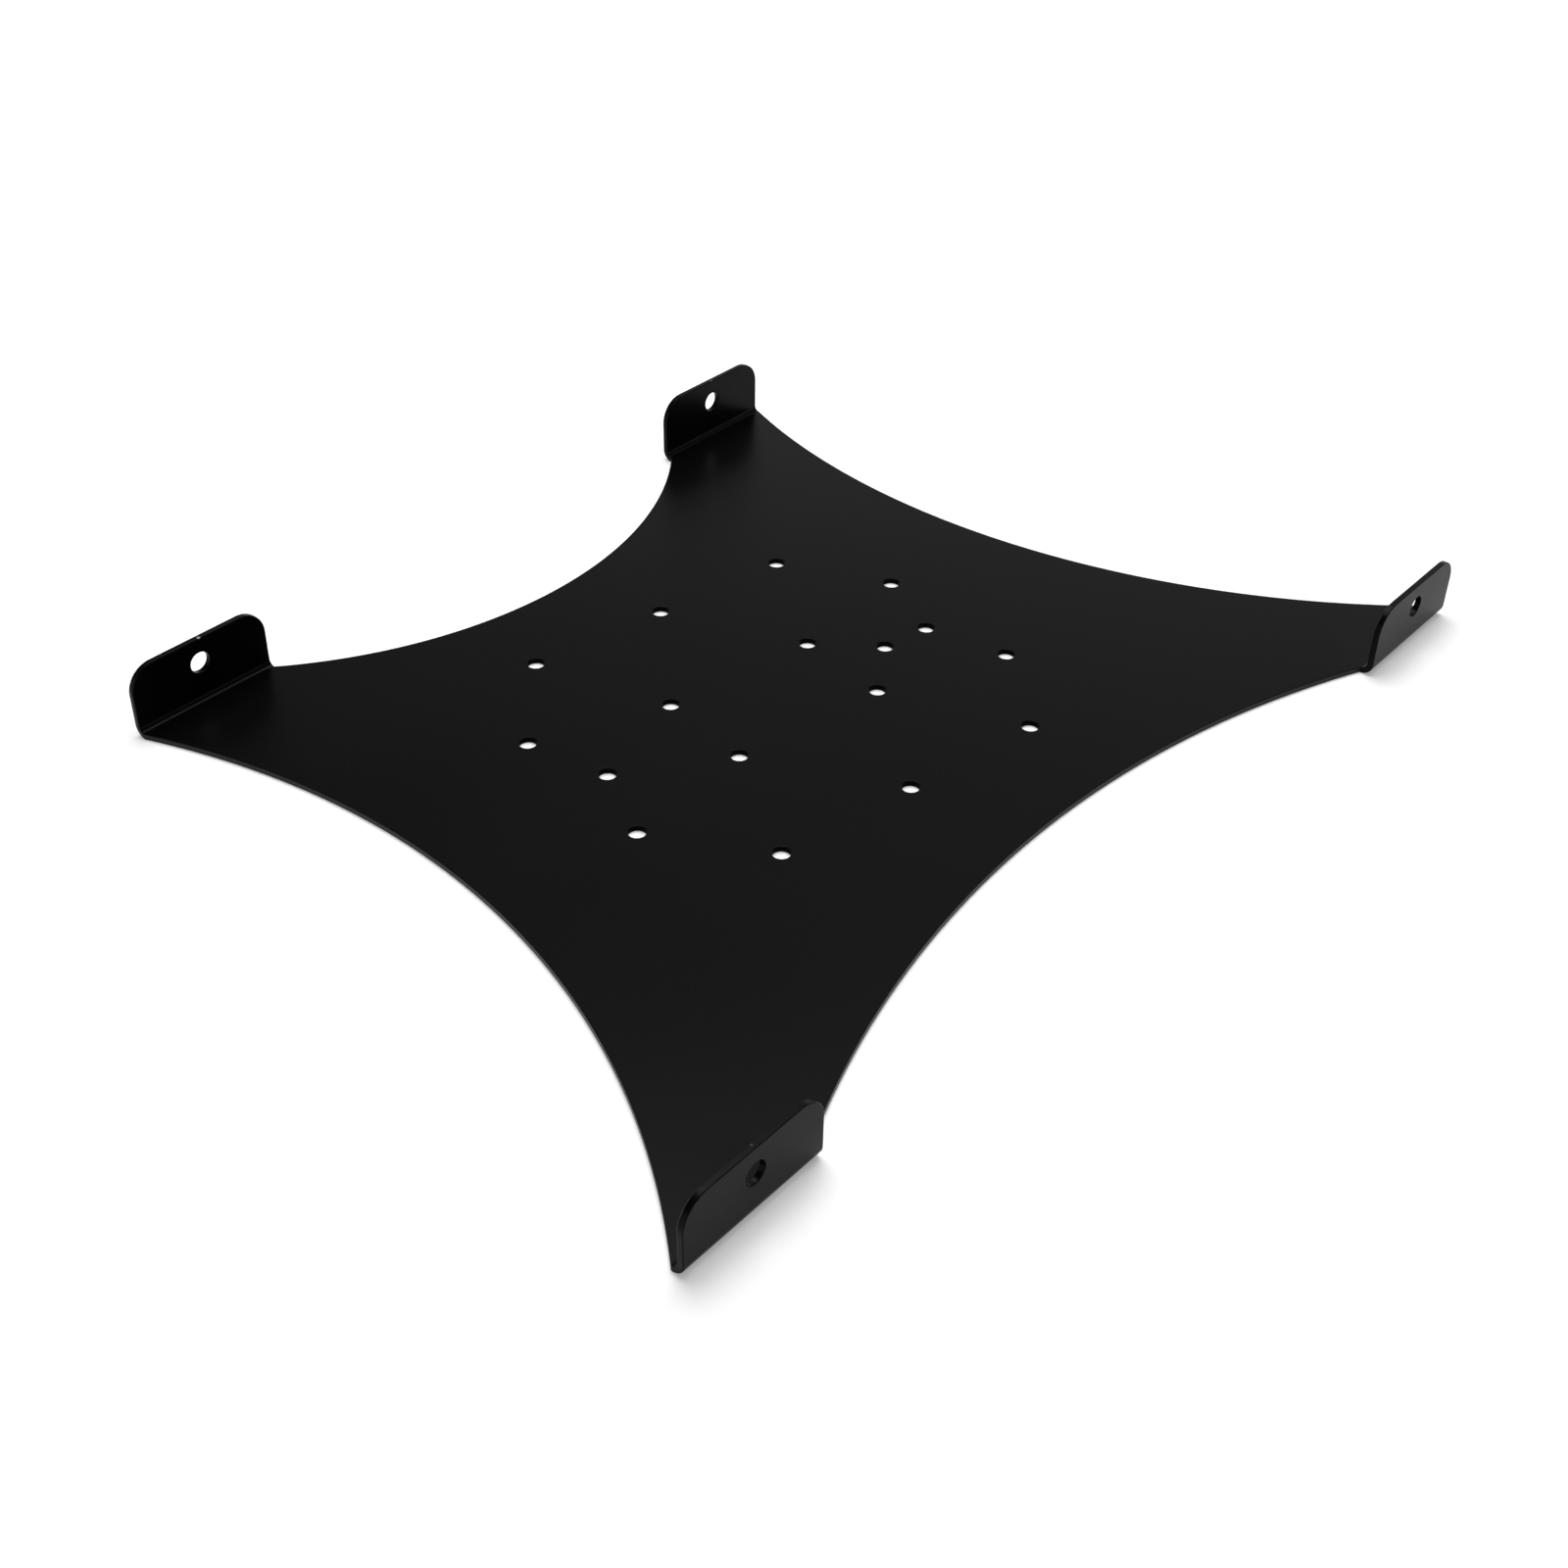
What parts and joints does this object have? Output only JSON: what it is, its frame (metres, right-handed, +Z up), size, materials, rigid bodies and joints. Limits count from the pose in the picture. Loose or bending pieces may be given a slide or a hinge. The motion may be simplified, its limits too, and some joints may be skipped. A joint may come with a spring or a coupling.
{
  "type": "motor mounting bracket",
  "caption": "Folded sheet-steel motor mounting bracket: a drilled plate with curved-in sides and an upright drilled tab at each corner, black powder coat.",
  "frame": {"origin": "on the plate's underside, at the centre of the hole pattern, which is also midway between the tabs", "axes": "+Z up out of the plate, the way the tabs stand; +X and +Y along the rows of holes. The outline's own long and short axes are turned 9.9 degrees counter-clockwise from them about +Z, with the wide end towards +X"},
  "size_m": [0.322, 0.3731, 0.0235],
  "materials": {
    "black_coat": "satin black powder coat with a fine texture"
  },
  "bodies": {
    "root": {"bracket": "black_coat"}
  },
  "joints": []
}
